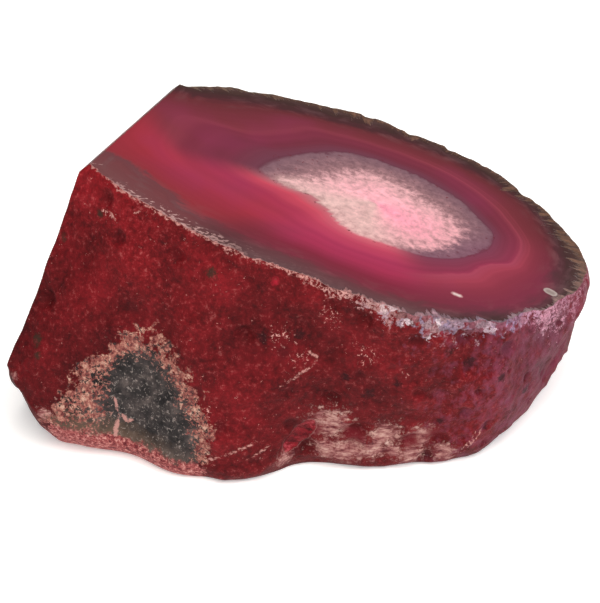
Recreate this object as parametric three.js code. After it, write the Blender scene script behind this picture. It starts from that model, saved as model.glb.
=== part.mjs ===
// A thick agate slice: the end of a nodule with a polished face, a sawn end and a ground foot.
// Millimetres, +Z up. The stone rests on its foot at z = 0, and the polished face slopes down towards +X.
import * as THREE from "three";

// Driving dimensions
const faceTilt = THREE.MathUtils.degToRad(15); // of the polished face, about Y
const faceCorner = new THREE.Vector3(-40.5, -4.8, 57); // where face, sawn end and front rind meet
const chordEnd = [15.7, 39.4]; // the back corner of the sawn edge, on the face
const easedEdge = 1.4; // how far the sawn end stands out past its eased edge with the face
const easedDrop = 2; // and how far down it the easing goes
const wallBow = 1.6; // how far the rind bows out between rim and belly
const windowCentre = new THREE.Vector3(-34, -27, 10); // of the patch where the rind is worn off
const windowFacing = new THREE.Vector3(-0.05, -0.98, 0.17).normalize();
const windowHalfWidth = 17;
const windowHeight = 32; // of its domed outline over the foot
const windowDepth = 1.1; // how far the worn patch lies below the rind
const windowFade = [0.85, 1.15]; // where its edge starts and ends, in its own half widths
const lumpSizes = [24, 11, 5.5]; // spacing of the rind's lumps, coarse to fine
const lumpHeights = [1.1, 0.75, 0.5];
const pitSpacing = 9;
const pitWander = 0.4; // how far a pit lies off the middle of its cell, as a share of pitSpacing
const pitDepth = 1.1;
const pitRadius = 2.2;
const chipReach = 4.5; // how far the broken rim reaches down the rind
const chipInset = 1.4; // how far it reaches into the polished face
const stoneMiddle = [0, 2]; // a place inside the stone that the rind faces away from
const calmUnderFace = 3; // relief this close under the face moves along the face's plane
const calmOverFoot = 2.5; // and this close over the foot it moves level

// Stations round the rind, from the front end of the sawn edge to its back end: rim on the polished face
// [along, across], widest point low on the wall [x, y, z] and edge of the foot [x, y].
const stations = [
  { rim: [0, 0], belly: [-59.2, -19.4, 18.6], foot: [-52.9, 6] },
  { rim: [5, -5.6], belly: [-53.8, -25.7, 12], foot: [-50.6, -17.8] },
  { rim: [12, -11.4], belly: [-45.5, -28.4, 8], foot: [-43.5, -22] },
  { rim: [20, -16.4], belly: [-35.5, -29.2, 5], foot: [-34, -25] },
  { rim: [29, -20.7], belly: [-24.5, -34.7, 4], foot: [-23.5, -31.5] },
  { rim: [38, -22.9], belly: [-8.5, -34.6, 4], foot: [-8, -31.6] },
  { rim: [48, -25.8], belly: [1, -31, 5], foot: [1, -27.9] },
  { rim: [58, -27.8], belly: [13, -31.8, 4], foot: [13, -28.6] },
  { rim: [68, -28.3], belly: [25, -30.5, 4], foot: [24, -27.3] },
  { rim: [79, -25.8], belly: [37.6, -27.7, 5], foot: [35.6, -24.5] },
  { rim: [89, -20.2], belly: [47, -19.6, 8], foot: [43, -14.6] },
  { rim: [97.6, -11], belly: [55.7, -10.2, 20.4], foot: [45.3, -3.8] },
  { rim: [102.7, 0], belly: [57.8, 0, 22], foot: [47.5, 3.5] },
  { rim: [101.9, 10], belly: [55.6, 10.5, 19], foot: [46, 11] },
  { rim: [97.2, 20.7], belly: [49.5, 20.5, 13], foot: [42, 18.5] },
  { rim: [89.2, 29.8], belly: [40, 30, 12], foot: [34.5, 26] },
  { rim: [78, 37.2], belly: [29, 36.5, 11], foot: [24.5, 31.5] },
  { rim: [65, 42], belly: [16, 40, 11], foot: [13, 35] },
  { rim: [51, 44.6], belly: [2, 41.8, 11], foot: [0, 36.5] },
  { rim: [38, 44.9], belly: [-12, 42, 12], foot: [-13, 36.5] },
  { rim: [26, 43.2], belly: [-25.5, 40.2, 13], foot: [-27, 34.5] },
  { rim: chordEnd, belly: [-36.1, 37, 13], foot: [-42.4, 30] },
];
// Broken spots on the rim: place round the rind (0 to 1), width there and size against chipInset
const chips = [
  { at: 0.345, width: 0.02, size: 0.6 },
  { at: 0.385, width: 0.022, size: 1 },
  { at: 0.425, width: 0.018, size: 0.7 },
  { at: 0.47, width: 0.024, size: 0.9 },
  { at: 0.525, width: 0.02, size: 0.4 },
  { at: 0.7, width: 0.02, size: 0.45 },
  { at: 0.8, width: 0.025, size: 0.5 },
];
// Scars low on the rind: centre, half length, half height, lean of the length up from level and depth
const scars = [
  { centre: [-0.2, -31, 9.4], halfLength: 5.6, halfHeight: 2.2, lean: 52, depth: 1.5 },
  { centre: [10.4, -32, 11.8], halfLength: 4.4, halfHeight: 1.5, lean: 24, depth: 1 },
  { centre: [22, -31.2, 8.8], halfLength: 3, halfHeight: 1.6, lean: 18, depth: 1 },
  { centre: [27.6, -30, 8.4], halfLength: 2.6, halfHeight: 2.2, lean: 0, depth: 1.1 },
  { centre: [53.4, -10.8, 9.8], halfLength: 5.5, halfHeight: 3.2, lean: 24, depth: 2.6 },
];

// Fineness of the mesh
const rindColumns = 104;
const endColumns = 16;
const wallRows = 24;
const rollRows = 5;
const footRings = 3;

const faceNormal = new THREE.Vector3(Math.sin(faceTilt), 0, Math.cos(faceTilt));
const faceAlong = new THREE.Vector3(Math.cos(faceTilt), 0, -Math.sin(faceTilt));
const faceAcross = new THREE.Vector3(0, 1, 0);

function onFace([along, across]) {
  return faceCorner.clone().addScaledVector(faceAlong, along).addScaledVector(faceAcross, across);
}

// The sawn end is square to the polished face, and their shared edge is eased.
const endNormal = faceNormal.clone().cross(onFace(chordEnd).sub(faceCorner)).normalize();

function depthBelowFace(point) {
  return faceCorner.clone().sub(point).dot(faceNormal);
}

function ontoEnd(point) {
  const standOut = easedEdge * THREE.MathUtils.clamp(depthBelowFace(point) / easedDrop, 0, 1);
  return point.addScaledVector(endNormal, standOut + faceCorner.clone().sub(point).dot(endNormal));
}

// Smooth noise on a cubic lattice: each corner holds a value from -1 to 1, hashed from its place.
function cornerValue(i, j, k) {
  const wave = Math.sin(i * 127.1 + j * 311.7 + k * 74.7) * 43758.5453;
  return 2 * (wave - Math.floor(wave)) - 1;
}

function latticeNoise(point, cell) {
  const place = point.clone().divideScalar(cell);
  const base = place.clone().floor();
  const ease = (t) => t * t * t * (t * (t * 6 - 15) + 10);
  const [fx, fy, fz] = place.sub(base).toArray().map(ease);
  let sum = 0;
  for (let corner = 0; corner < 8; corner++) {
    const [dx, dy, dz] = [corner & 1, (corner >> 1) & 1, corner >> 2];
    const weight = (dx ? fx : 1 - fx) * (dy ? fy : 1 - fy) * (dz ? fz : 1 - fz);
    sum += weight * cornerValue(base.x + dx, base.y + dy, base.z + dz);
  }
  return sum;
}

// One pit in most cells of a lattice, at a hashed place in its cell: 0 on open rind, 1 at a pit's bottom.
function pitting(point) {
  const base = point.clone().divideScalar(pitSpacing).floor();
  let deepest = 0;
  for (let corner = 0; corner < 27; corner++) {
    const i = base.x + (corner % 3) - 1;
    const j = base.y + (Math.floor(corner / 3) % 3) - 1;
    const k = base.z + Math.floor(corner / 9) - 1;
    const shift = [cornerValue(i + 7, j, k), cornerValue(i, j + 7, k), cornerValue(i, j, k + 7)];
    const centre = new THREE.Vector3(i, j, k)
      .addScalar(0.5)
      .add(new THREE.Vector3(...shift).multiplyScalar(pitWander))
      .multiplyScalar(pitSpacing);
    const reach = centre.distanceTo(point) / pitRadius;
    deepest = Math.max(deepest, 1 - reach * reach);
  }
  return deepest;
}

const rimCurve = new THREE.CatmullRomCurve3(
  stations.map((s) => onFace(s.rim)),
  false,
  "catmullrom",
);
const bellyCurve = new THREE.CatmullRomCurve3(
  stations.map((s) => new THREE.Vector3(...s.belly)),
  false,
  "catmullrom",
);
const footCurve = new THREE.CatmullRomCurve3(
  stations.map((s) => new THREE.Vector3(...s.foot, 0)),
  false,
  "catmullrom",
);

// The wall before its relief: a bowed run from rim to belly, then a quarter ellipse under to the foot.
function smoothWall(round, down) {
  const [rim, belly, foot] = [rimCurve, bellyCurve, footCurve].map((c) => c.getPoint(round));
  const straightShare = wallRows / (wallRows + rollRows);
  if (down <= straightShare) {
    const share = down / straightShare;
    const bow = 4 * wallBow * share * (1 - share) * Math.sin(Math.PI * round);
    const aside = new THREE.Vector3(belly.x - stoneMiddle[0], belly.y - stoneMiddle[1], 0).normalize();
    return rim.lerp(belly, share).addScaledVector(aside, bow);
  }
  const turn = ((down - straightShare) / (1 - straightShare)) * (Math.PI / 2);
  return new THREE.Vector3(
    foot.x + (belly.x - foot.x) * Math.cos(turn),
    foot.y + (belly.y - foot.y) * Math.cos(turn),
    belly.z * (1 - Math.sin(turn)),
  );
}

// The smooth wall's outward normal, from its slopes round and down, a small step to each side.
function outward(round, down) {
  const step = 0.004;
  const [r, d] = [round, down].map((place) => THREE.MathUtils.clamp(place, step, 1 - step));
  const across = smoothWall(r + step, d).sub(smoothWall(r - step, d));
  const along = smoothWall(r, d + step).sub(smoothWall(r, d - step));
  return along.cross(across).normalize();
}

// How much of the worn window covers a point: 1 inside its domed outline, easing to 0 outside, and 0 on the
// far side of the stone.
function windowCover(point) {
  const level = new THREE.Vector3(0, 0, 1).cross(windowFacing).normalize();
  const upright = windowFacing.clone().cross(level);
  const offset = point.clone().sub(windowCentre);
  if (offset.dot(windowFacing) < -windowHalfWidth) return 0;
  const side = offset.dot(level) / windowHalfWidth;
  const height = (offset.dot(upright) + windowCentre.z) / windowHeight;
  return 1 - THREE.MathUtils.smoothstep(Math.hypot(side, height), ...windowFade);
}

// Height of the rind over the smooth wall: lumps of three sizes, less pits, scars and the worn window.
function relief(point) {
  let height = 0;
  lumpSizes.forEach((size, index) => {
    height += lumpHeights[index] * latticeNoise(point, size);
  });
  height -= pitDepth * pitting(point);
  for (const scar of scars) {
    const offset = point.clone().sub(new THREE.Vector3(...scar.centre));
    offset.applyAxisAngle(new THREE.Vector3(0, 1, 0), THREE.MathUtils.degToRad(scar.lean));
    offset.divide(new THREE.Vector3(scar.halfLength, scar.halfLength, scar.halfHeight));
    const reach = offset.length();
    height -= scar.depth * Math.max(0, 1 - reach * reach);
  }
  const cover = windowCover(point);
  return height * (1 - cover) - windowDepth * cover;
}

function chipAmount(round) {
  const reach = (chip) => Math.max(0, 1 - Math.abs(round - chip.at) / chip.width);
  return Math.max(...chips.map((chip) => chip.size * reach(chip)));
}

// A point of the wall with its relief. Rim and foot stay in their own planes, and the wall's two ends
// in the sawn end's plane.
function wallPoint(round, down) {
  const point = smoothWall(round, down);
  const facing = outward(round, down);
  const shift = facing.clone().multiplyScalar(relief(point));
  const belowFace = depthBelowFace(point);
  const chip = chipAmount(round) * Math.max(0, 1 - belowFace / chipReach);
  shift.addScaledVector(facing, -chipInset * chip);
  const nearFace = Math.max(0, 1 - belowFace / calmUnderFace);
  const nearFoot = Math.max(0, 1 - point.z / calmOverFoot);
  shift.addScaledVector(faceNormal, -shift.dot(faceNormal) * nearFace);
  shift.z *= 1 - nearFoot;
  const moved = point.clone().add(shift);
  if (down === 0) moved.addScaledVector(faceNormal, depthBelowFace(moved));
  if (round > 0 && round < 1) return moved;
  if (down < 1) return ontoEnd(moved);
  const level = new THREE.Vector3(endNormal.x, endNormal.y, 0);
  return moved.addScaledVector(level, ontoEnd(moved.clone()).sub(moved).dot(endNormal) / level.lengthSq());
}

// The closed surface as rings of points: the face's middle, rows down the wall, rings over the foot.
function stoneGeometry() {
  const rows = [];
  const rowCount = wallRows + rollRows;
  for (let row = 0; row <= rowCount; row++) {
    const down = row / rowCount;
    const ring = [];
    for (let column = 0; column <= rindColumns; column++) {
      ring.push(wallPoint(column / rindColumns, down));
    }
    const [back, front] = [ring[rindColumns], ring[0]];
    for (let column = 1; column < endColumns; column++) {
      ring.push(back.clone().lerp(front, column / endColumns));
    }
    rows.push(ring);
  }
  const sumOf = (ring) => ring.reduce((sum, p) => sum.add(p), new THREE.Vector3());
  const middleOf = (ring) => sumOf(ring).divideScalar(ring.length);
  const footEdge = rows[rowCount];
  const footMiddle = middleOf(footEdge);
  for (let ring = 1; ring < footRings; ring++)
    rows.push(footEdge.map((p) => p.clone().lerp(footMiddle, ring / footRings)));

  const around = rows[0].length;
  const places = rows.flat();
  const faceMiddle = places.push(middleOf(rows[0])) - 1;
  const footCentre = places.push(footMiddle) - 1;
  const index = [];
  for (let column = 0; column < around; column++) {
    const next = (column + 1) % around;
    index.push(faceMiddle, column, next);
    for (let row = 0; row + 1 < rows.length; row++) {
      const [a, b] = [row * around + column, row * around + next];
      index.push(a, a + around, b, b, a + around, b + around);
    }
    const last = (rows.length - 1) * around;
    index.push(last + next, last + column, footCentre);
  }
  const geometry = new THREE.BufferGeometry().setFromPoints(places);
  geometry.setIndex(index);
  return geometry;
}

const stone = new THREE.MeshStandardMaterial({ color: 0x7a2630, roughness: 0.75, metalness: 0 });
const agate = new THREE.Mesh(stoneGeometry(), stone);
agate.name = "agate";

// The origin is under the middle of the stone's bounding box.
agate.geometry.computeBoundingBox();
const middle = agate.geometry.boundingBox.getCenter(new THREE.Vector3());
agate.position.set(-middle.x, -middle.y, 0);

const agateSlice = new THREE.Group();
agateSlice.add(agate);

export default agateSlice;
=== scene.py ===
import math
from functools import partial

import bpy
import numpy as np
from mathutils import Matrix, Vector


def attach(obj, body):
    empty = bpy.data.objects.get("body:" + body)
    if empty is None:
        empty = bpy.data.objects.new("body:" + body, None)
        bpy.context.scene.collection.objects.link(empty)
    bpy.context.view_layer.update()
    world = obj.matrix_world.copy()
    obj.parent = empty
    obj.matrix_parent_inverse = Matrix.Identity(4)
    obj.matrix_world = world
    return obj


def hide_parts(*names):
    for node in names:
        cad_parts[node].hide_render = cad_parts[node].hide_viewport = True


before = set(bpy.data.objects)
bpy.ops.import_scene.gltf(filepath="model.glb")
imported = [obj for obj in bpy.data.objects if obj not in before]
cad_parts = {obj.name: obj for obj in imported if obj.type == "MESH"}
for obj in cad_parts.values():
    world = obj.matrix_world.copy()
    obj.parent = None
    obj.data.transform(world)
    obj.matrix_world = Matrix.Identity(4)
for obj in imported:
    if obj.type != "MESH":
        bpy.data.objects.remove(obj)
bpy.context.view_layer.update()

# A thick slice cut from the end of a dyed agate nodule: polished banded face, sawn end, natural rind and a
# flat foot. Shapes are worked out in millimetres in the stone's own frame, and go to metres in the mesh.

millimetre = 0.001

stone = {
    "faceTilt": 15.0,  # of the polished face, degrees about Y
    "faceCorner": (-40.5, -4.8, 57.0),  # where face, sawn end and front rind meet
    "chordEnd": (15.7, 39.4),  # back corner of the sawn edge, along and across the face
    "easedEdge": 1.4,  # how far the sawn end stands out past its eased edge
    "easedDrop": 2.0,  # and how far down it the easing goes
    "wallBow": 1.6,  # how far the rind bows out between rim and belly
    "middle": (0.0, 2.0),  # a place inside that the rind faces away from
    "recentring": (-0.392, -3.739),  # puts the middle of the stone over the origin
    "straightShare": 24 / 29,  # of the way down the wall, before it rolls under
    "calmUnderFace": 3.0,  # relief this close under the face moves along its plane
    "calmOverFoot": 2.5,  # and this close over the foot it moves level
}

# Stations round the rind: rim on the face (along, across), belly of the wall (x, y, z) and foot's edge (x, y)
stations = [
    ((0, 0), (-59.2, -19.4, 18.6), (-52.9, 6)),
    ((5, -5.6), (-53.8, -25.7, 12), (-50.6, -17.8)),
    ((12, -11.4), (-45.5, -28.4, 8), (-43.5, -22)),
    ((20, -16.4), (-35.5, -29.2, 5), (-34, -25)),
    ((29, -20.7), (-24.5, -34.7, 4), (-23.5, -31.5)),
    ((38, -22.9), (-8.5, -34.6, 4), (-8, -31.6)),
    ((48, -25.8), (1, -31, 5), (1, -27.9)),
    ((58, -27.8), (13, -31.8, 4), (13, -28.6)),
    ((68, -28.3), (25, -30.5, 4), (24, -27.3)),
    ((79, -25.8), (37.6, -27.7, 5), (35.6, -24.5)),
    ((89, -20.2), (47, -19.6, 8), (43, -14.6)),
    ((97.6, -11), (55.7, -10.2, 20.4), (45.3, -3.8)),
    ((102.7, 0), (57.8, 0, 22), (47.5, 3.5)),
    ((101.9, 10), (55.6, 10.5, 19), (46, 11)),
    ((97.2, 20.7), (49.5, 20.5, 13), (42, 18.5)),
    ((89.2, 29.8), (40, 30, 12), (34.5, 26)),
    ((78, 37.2), (29, 36.5, 11), (24.5, 31.5)),
    ((65, 42), (16, 40, 11), (13, 35)),
    ((51, 44.6), (2, 41.8, 11), (0, 36.5)),
    ((38, 44.9), (-12, 42, 12), (-13, 36.5)),
    ((26, 43.2), (-25.5, 40.2, 13), (-27, 34.5)),
    ((15.7, 39.4), (-36.1, 37, 13), (-42.4, 30)),
]

faceTilt = math.radians(stone["faceTilt"])
faceNormal = np.array([math.sin(faceTilt), 0, math.cos(faceTilt)])
faceAlong = np.array([math.cos(faceTilt), 0, -math.sin(faceTilt)])
faceAcross = np.array([0.0, 1.0, 0.0])
faceCorner = np.array(stone["faceCorner"])
chord = stone["chordEnd"][0] * faceAlong + stone["chordEnd"][1] * faceAcross
endNormal = np.cross(faceNormal, chord)
endNormal = endNormal / np.linalg.norm(endNormal)


def smoothStep(values, low, high):  # 0 below low, 1 above high, an S curve between
    share = np.clip((values - low) / (high - low), 0, 1)
    return share * share * (3 - 2 * share)


def curveThrough(points, places):
    # Catmull-Rom: between two points a cubic whose slope at each is half the step between its neighbours
    points = np.array(points, float)
    before, after = 2 * points[0] - points[1], 2 * points[-1] - points[-2]
    padded = np.vstack([before, points, after])
    along = np.clip(places, 0, 1) * (len(points) - 1)
    segment = np.minimum(along.astype(int), len(points) - 2)
    t = (along - segment)[..., None]
    p0, p1, p2, p3 = (padded[segment + k] for k in range(4))
    slopeIn, slopeOut = (p2 - p0) / 2, (p3 - p1) / 2
    return (p1 + slopeIn * t + (3 * (p2 - p1) - 2 * slopeIn - slopeOut) * t**2
            + (2 * (p1 - p2) + slopeIn + slopeOut) * t**3)


rimPoints = [faceCorner + p * faceAlong + q * faceAcross for (p, q), _, _ in stations]
bellyPoints = [belly for _, belly, _ in stations]
footPoints = [(x, y, 0) for _, _, (x, y) in stations]


def latticeValue(i, j, k):  # a value from -1 to 1 for each corner of a lattice, hashed from its place
    wave = np.sin(i * 127.1 + j * 311.7 + k * 74.7) * 43758.5453
    return 2 * (wave - np.floor(wave)) - 1


def latticeNoise(points, cell):
    # Smooth noise: the eight lattice corners round a point, blended by the quintic ease 6t^5 - 15t^4 + 10t^3
    place = points / cell
    base = np.floor(place)
    t = place - base
    ease = t**3 * (t * (t * 6 - 15) + 10)
    total = np.zeros(points.shape[:-1])
    for corner in range(8):
        step = np.array([corner & 1, (corner >> 1) & 1, corner >> 2])
        weight = np.prod(np.where(step, ease, 1 - ease), axis=-1)
        total += weight * latticeValue(*np.moveaxis(base + step, -1, 0))
    return total


def pitting(points, spacing, radius, wander=0.4):
    # One pit in each lattice cell at a hashed place: 1 - (distance / radius)^2 inside it, and 0 on open rind
    base = np.floor(points / spacing)
    deepest = np.zeros(points.shape[:-1])
    for corner in range(27):
        cell = base + np.array([corner % 3, corner // 3 % 3, corner // 9]) - 1
        i, j, k = np.moveaxis(cell, -1, 0)
        # Three hashed values, from 7 cells away along each axis, move the pit off the middle of its cell
        shift = np.stack([latticeValue(i + a, j + b, k + c) for a, b, c in 7 * np.eye(3)], -1)
        centre = (cell + 0.5 + wander * shift) * spacing
        reach = np.linalg.norm(centre - points, axis=-1) / radius
        deepest = np.maximum(deepest, 1 - reach**2)
    return deepest


def smoothWall(around, down):
    # The wall without relief: a bowed run from rim to belly, then a quarter ellipse under to the foot
    rim, belly, foot = (curveThrough(p, around) for p in (rimPoints, bellyPoints, footPoints))
    straightShare = stone["straightShare"]
    share = np.clip(down / straightShare, 0, 1)[..., None]
    aside = belly * [1, 1, 0] - [*stone["middle"], 0]
    aside = aside / np.linalg.norm(aside, axis=-1, keepdims=True)
    bow = 4 * stone["wallBow"] * share * (1 - share) * np.sin(np.pi * around)[..., None]
    straight = rim + (belly - rim) * share + aside * bow
    turn = np.clip((down - straightShare) / (1 - straightShare), 0, 1)[..., None] * np.pi / 2
    rolled = foot + (belly - foot) * [1, 1, 0] * np.cos(turn) + belly * [0, 0, 1] * (1 - np.sin(turn))
    return np.where(down[..., None] <= straightShare, straight, rolled)


def outward(around, down, step=0.004):  # the smooth wall's normal, from its slopes round and down
    a, d = np.clip(around, step, 1 - step), np.clip(down, step, 1 - step)
    across = smoothWall(a + step, d) - smoothWall(a - step, d)
    along = smoothWall(a, d + step) - smoothWall(a, d - step)
    normal = np.cross(along, across)
    return normal / np.linalg.norm(normal, axis=-1, keepdims=True)


def belowFace(points):  # distance below the plane of the face, square to it
    return (faceCorner - points) @ faceNormal


def ontoEnd(points):  # moved square onto the sawn end, whose top edge is eased
    standOut = stone["easedEdge"] * np.clip(belowFace(points) / stone["easedDrop"], 0, 1)
    return points + (standOut + (faceCorner - points) @ endNormal)[..., None] * endNormal


rind = {
    "lumps": ((24, 1.1), (11, 0.75), (5.5, 0.5)),  # spacing and height, coarse to fine
    "pits": (9.0, 2.2, 1.1),  # spacing, radius and depth
    "grains": ((2.7, 0.16), (1.4, 0.11)),  # fine lumps: spacing and height
    "pinholes": (3.6, 0.75, 0.5),  # small pits: spacing, radius and depth
    "pinholeAreas": 17.0,  # spacing of the areas that have them
    "smallPits": (5.6, 1.25, 0.8),  # the same for pits at the right end
    "smallPitStart": 8.0,  # where along X they begin
    "smallPitRun": 30.0,  # and how much further on they are in full
}

window = {  # the patch low on the front left where the rind is worn off down to grey chalcedony
    "centre": (-34.0, -27.0, 10.0),
    "facing": (-0.05, -0.98, 0.17),
    "halfWidth": 17.0,
    "height": 32.0,  # of its domed outline over the foot
    "depth": 1.1,
    "fade": (0.85, 1.15),  # where its edge starts and ends, in its own half widths
    # How far in the lace of left-over rind reaches: direction from level right, in degrees, and place
    "laceInside": (
        (-180, 0.75), (0, 0.74), (32, 0.68), (55, 0.74), (69, 0.79), (95, 0.79), (107, 0.73), (116, 0.46),
        (128, 0.3), (140, 0.26), (152, 0.42), (165, 0.7), (180, 0.75)),
    "wornSides": (17.2, 17.0),  # half widths of the patch where the colour is gone, left and right
    "wornHeight": 29.8,
    # How far out that patch's outline runs, by the same directions: 1 is on the dome of those sizes
    "wornReach": (
        (-180, 1.0), (0, 0.87), (12, 0.95), (23, 1.04), (50, 1.03), (75, 1.0), (90, 0.94), (105, 0.87),
        (130, 0.85), (150, 0.92), (164, 1.01), (180, 1.0)),
    "elsewhere": 9.0,  # place given to the far side of the stone: well outside
}

# Scars low on the rind: centre, half length, half height, lean of the length up from level in degrees, depth
scars = [
    ((-0.2, -31, 9.4), 5.6, 2.2, 52, 1.5),
    ((10.4, -32, 11.8), 4.4, 1.5, 24, 1.0),
    ((22, -31.2, 8.8), 3.0, 1.6, 18, 1.0),
    ((27.6, -30, 8.4), 2.6, 2.2, 0, 1.1),
    ((53.4, -10.8, 9.8), 5.5, 3.2, 24, 2.6),
]

chipping = {
    # Broken spots on the rim: place round the rind (0 to 1), width there, size
    "spots": (
        (0.345, 0.02, 0.6), (0.385, 0.022, 1), (0.425, 0.018, 0.7), (0.47, 0.024, 0.9), (0.525, 0.02, 0.4),
        (0.7, 0.02, 0.45), (0.8, 0.025, 0.5)),
    "reach": 4.5,  # down the rind
    "inset": 1.4,  # into the face
    "facetSize": 2.2,  # of the conchoidal hollows in them
    "facetDepth": 0.7,
    "rimRoughness": ((2.3, 0.22), (0.9, 0.16)),  # spacing and size of the small nicks all round the rim
    "nickReach": 1.2,  # and how far down the rind they go
}


def windowAxes():  # level, upright and facing directions of the window's own plane
    facing = np.array(window["facing"])
    facing = facing / np.linalg.norm(facing)
    level = np.cross([0, 0, 1], facing)
    level = level / np.linalg.norm(level)
    return level, np.cross(facing, level), facing


def windowPlace(points):  # distance from the window's middle in its own half widths: 1 on its outline
    level, upright, facing = windowAxes()
    offset = points - np.array(window["centre"])
    place = np.hypot(offset @ level / window["halfWidth"],
                     (offset @ upright + window["centre"][2]) / window["height"])
    return np.where(offset @ facing < -window["halfWidth"], window["elsewhere"], place)


def wornPlace(points):  # like windowPlace, for the colour, with the direction from level right
    level, upright, facing = windowAxes()
    offset = points - np.array(window["centre"])
    side = offset @ level
    side = side / np.where(side < 0, *window["wornSides"])
    rise = np.maximum(offset @ upright + window["centre"][2], 0) / window["wornHeight"]
    direction = np.degrees(np.arctan2(rise, side))
    place = np.hypot(side, rise) / np.interp(direction, *np.array(window["wornReach"]).T)
    return np.where(offset @ facing < -window["halfWidth"], window["elsewhere"], place), direction


def laceReach(points):  # 0 where the window is clear, 1 on its outline: (place - inside) / (1 - inside)
    place, direction = wornPlace(points)
    inside = np.interp(direction, *np.array(window["laceInside"]).T)
    return (place - inside) / (1 - inside)


def scarDepth(points, scar):  # 1 - r^2 in an ellipsoid round the scar's centre, times its depth
    centre, halfLength, halfHeight, lean, depth = scar
    offset = points - np.array(centre)
    c, s = math.cos(math.radians(lean)), math.sin(math.radians(lean))
    along, up = offset[..., 0] * c + offset[..., 2] * s, offset[..., 2] * c - offset[..., 0] * s
    reach = (along / halfLength)**2 + (offset[..., 1] / halfLength)**2 + (up / halfHeight)**2
    return depth * np.clip(1 - reach, 0, 1)


def smallPitting(points):  # pits that come in along X by an S curve
    start = rind["smallPitStart"]
    share = smoothStep(points[..., 0], start, start + rind["smallPitRun"])
    return share * pitting(points, *rind["smallPits"][:2])


def pinholes(points):  # the shifts of 31 and 5 mm keep their patterns clear of the other ones
    areas = smoothStep(latticeNoise(points + 31, rind["pinholeAreas"]), -0.1, 0.35)
    return areas * pitting(points + 5, *rind["pinholes"][:2])


def relief(points):
    # Height over the smooth wall: lumps of each size, less pits, scars and the worn window
    height = sum(size * latticeNoise(points, cell) for cell, size in rind["lumps"])
    height -= rind["pits"][2] * pitting(points, *rind["pits"][:2])
    height -= rind["smallPits"][2] * smallPitting(points)
    height -= sum(scarDepth(points, scar) for scar in scars)
    height -= rind["pinholes"][2] * pinholes(points)
    cover = 1 - smoothStep(windowPlace(points), *window["fade"])
    fine = sum(size * (latticeNoise(points, cell) - 1) for cell, size in rind["grains"])
    return height * (1 - cover) - window["depth"] * cover + fine * (1 - 0.7 * cover)


def chipAmount(around):  # the largest spot's size here, each falling off straight to 0 at its width
    return np.max([size * np.clip(1 - np.abs(around - at) / width, 0, 1)
                   for at, width, size in chipping["spots"]], axis=0)


def wallPoint(around, down):
    # The smooth wall moved along its normal by its relief. Rim and foot stay in their own planes.
    point, facing = smoothWall(around, down), outward(around, down)
    under = belowFace(point)
    chip = chipAmount(around) * np.clip(1 - under / chipping["reach"], 0, 1)
    facets = np.abs(latticeNoise(point, chipping["facetSize"]))
    nicks = sum(size * (latticeNoise(point, cell) - 1) for cell, size in chipping["rimRoughness"])
    inset = chipping["inset"] * chip + chipping["facetDepth"] * facets * np.minimum(chip * 3, 1)
    inset = inset - nicks * np.clip(1 - under / chipping["nickReach"], 0, 1)
    shift = facing * (relief(point) - inset)[..., None]
    nearFace = np.clip(1 - under / stone["calmUnderFace"], 0, 1)
    nearFoot = np.clip(1 - point[..., 2] / stone["calmOverFoot"], 0, 1)
    shift = shift - faceNormal * (shift @ faceNormal * nearFace)[..., None]
    shift[..., 2] *= 1 - nearFoot
    moved = point + shift
    atRim = down == 0
    moved[atRim] += faceNormal * belowFace(moved[atRim])[..., None]
    ends = (around == 0) | (around == 1)
    atFoot = ends & (down == 1)
    level = endNormal * [1, 1, 0]
    gap = (ontoEnd(moved[atFoot]) - moved[atFoot]) @ endNormal
    moved[ends] = np.where((down == 1)[ends][:, None], moved[ends], ontoEnd(moved[ends]))
    moved[atFoot] = moved[atFoot] + gap[:, None] / (level @ level) * level
    return moved


# Band outlines on the polished face, along and across it from its front corner, in millimetres. Where the
# saw cut a band off, its outline runs on past the straight edge.
bands = {
    "middle": (58.0, 9.0),
    # Band value at the rim, skin, light line, quartz, clear quartz and middle
    "values": (0.0, 0.25, 0.5, 0.75, 0.88, 1.0),
    "rimPastEdge": ((-5, 36), (-20, 20), (-16, 6)),
    "skin": (
        (2, 4), (5, 4), (10, -1), (15, -5), (20, -10), (25, -13), (35, -16.2), (43, -18), (50, -21),
        (60, -23.4), (70, -23.8), (80, -21.2), (88, -17), (92, -12), (94, -5), (96, 5), (95, 12), (92, 20),
        (85, 27), (78, 32), (70, 35), (60, 37), (50, 37.5), (40, 38), (30, 37), (20, 35.5), (15, 35),
        (5, 34), (-8, 28), (-12, 18), (-8, 9)),
    "lightLine": (
        (45, 33.2), (43, 32.6), (40, 30), (35, 26.3), (30, 24.5), (25, 25), (20, 27), (17, 26), (14, 20),
        (13, 12), (16, 7), (20, 4), (27, 0), (35, -4), (45, -9), (55, -12.5), (66, -13.5), (72, -11),
        (77, -9.5), (79, -6), (82, -4), (86, -3), (88.5, 3), (89, 7), (87, 13), (83, 20), (78, 25),
        (73, 28), (68, 30), (60, 32), (50, 33)),
    "quartz": (
        (33, 11), (38, 17), (45, 23), (55, 26.5), (63, 25), (72, 21), (79, 14), (83, 7), (81, 0), (75, -5),
        (66, -7), (60, -5.5), (50, -2), (48, 2), (45, 6), (37, 8)),
    "clearQuartz": (
        (38, 9.6), (43, 11.2), (48, 14.6), (54, 18), (60, 19), (66, 16), (71, 11), (74.5, 6), (73, 0),
        (68, -4), (60, -5), (50, -1.5), (48, 2.3), (45, 6.3), (39, 8.2)),
    "smoothing": 2.5,  # degrees over which an outline's corners are rounded
    "noduleDepth": 62.0,  # below the face, where the bands close under it
}


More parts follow.
